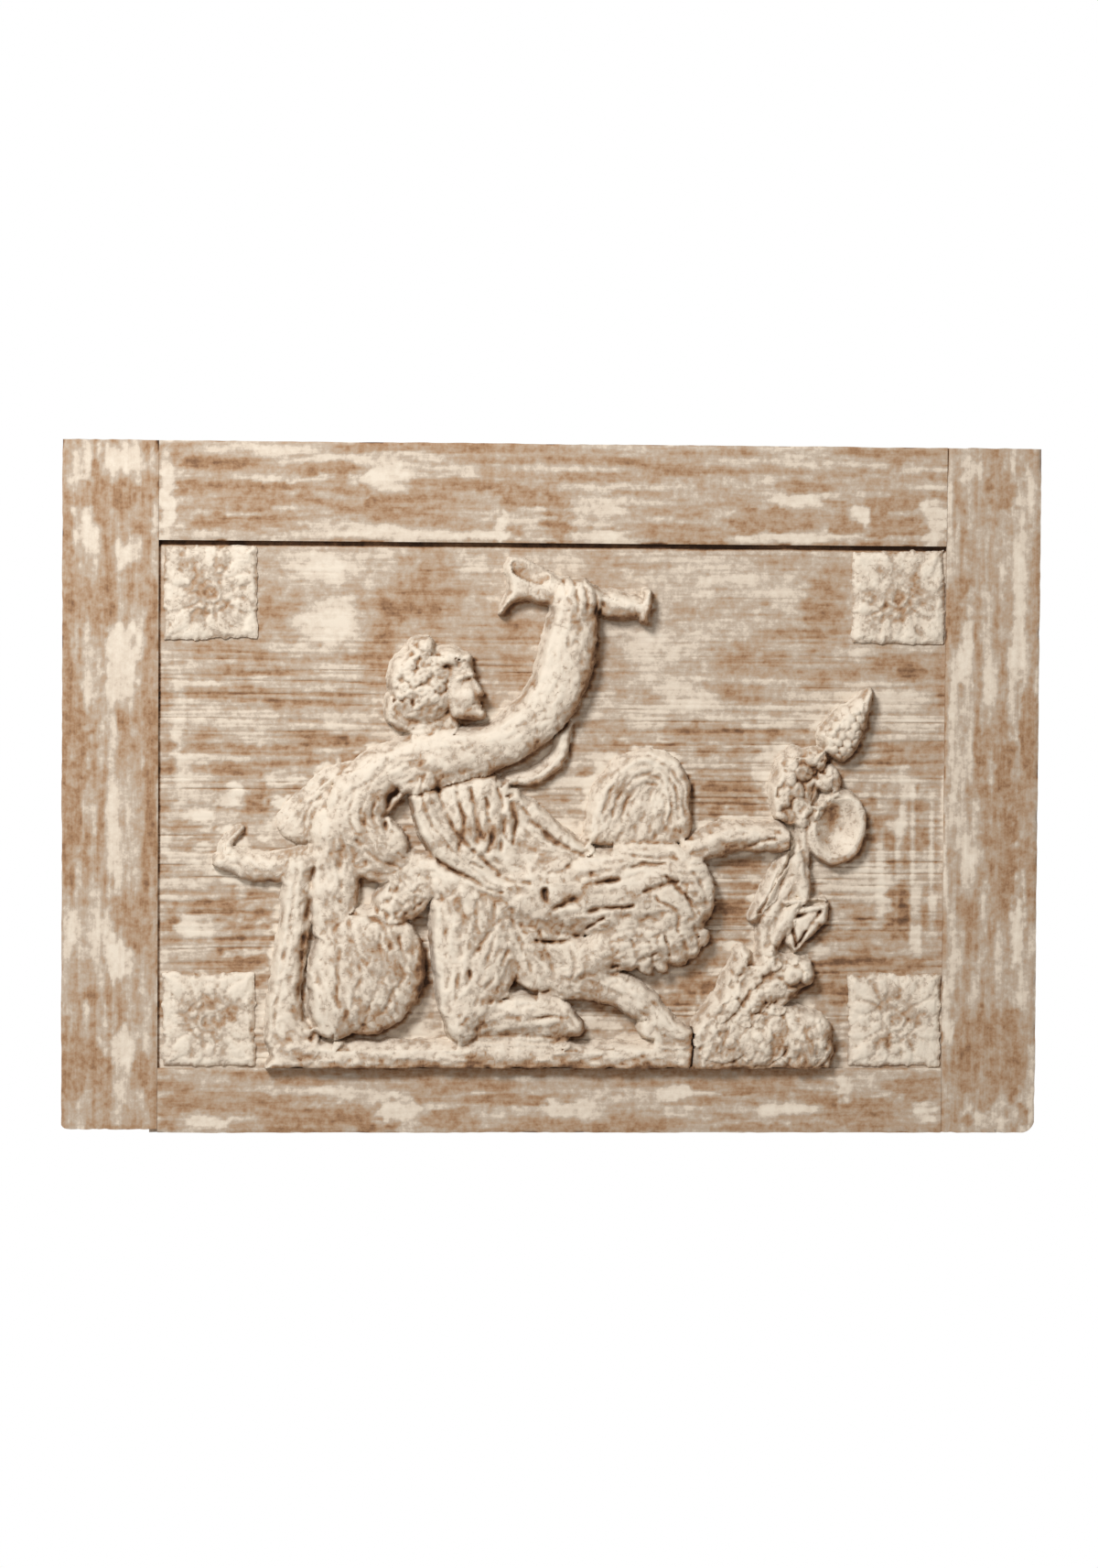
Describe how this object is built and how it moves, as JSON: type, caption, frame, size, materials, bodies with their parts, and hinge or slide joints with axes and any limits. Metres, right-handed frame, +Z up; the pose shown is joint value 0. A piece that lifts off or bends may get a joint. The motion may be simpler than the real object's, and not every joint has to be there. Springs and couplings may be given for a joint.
{
  "type": "carved wooden relief panel",
  "caption": "Limewashed frame-and-panel wall plaque with a seated figure raising a horn, a garlanded post and square corner rosettes carved in relief.",
  "frame": {"origin": "middle of the top rail's flat back, the face that is fixed to the wall", "axes": "+X to the right seen from the front, +Y into the wall, +Z up; the carving faces -Y"},
  "size_m": [1.067, 0.0623, 0.752],
  "materials": {
    "limewashed_frame": "old limewash worn through to bare wood, matt",
    "field_wood": "raised weathered grain under patches of old limewash, matt",
    "carved_wood": "gouged carving under cream limewash, brown in the hollows, matt",
    "rosette_wood": "worn carved tile under cream limewash, matt",
    "peg_wood": "end grain, darkened, matt"
  },
  "bodies": {
    "root": {"left_stile": "limewashed_frame", "right_stile": "limewashed_frame", "top_rail": "limewashed_frame", "bottom_rail": "limewashed_frame", "joint_peg": "peg_wood", "field_panel": "field_wood", "figure_carving": "carved_wood", "post_carving": "carved_wood", "rosette_top_left": "rosette_wood", "rosette_top_right": "rosette_wood", "rosette_bottom_left": "rosette_wood", "rosette_bottom_right": "rosette_wood"}
  },
  "joints": []
}
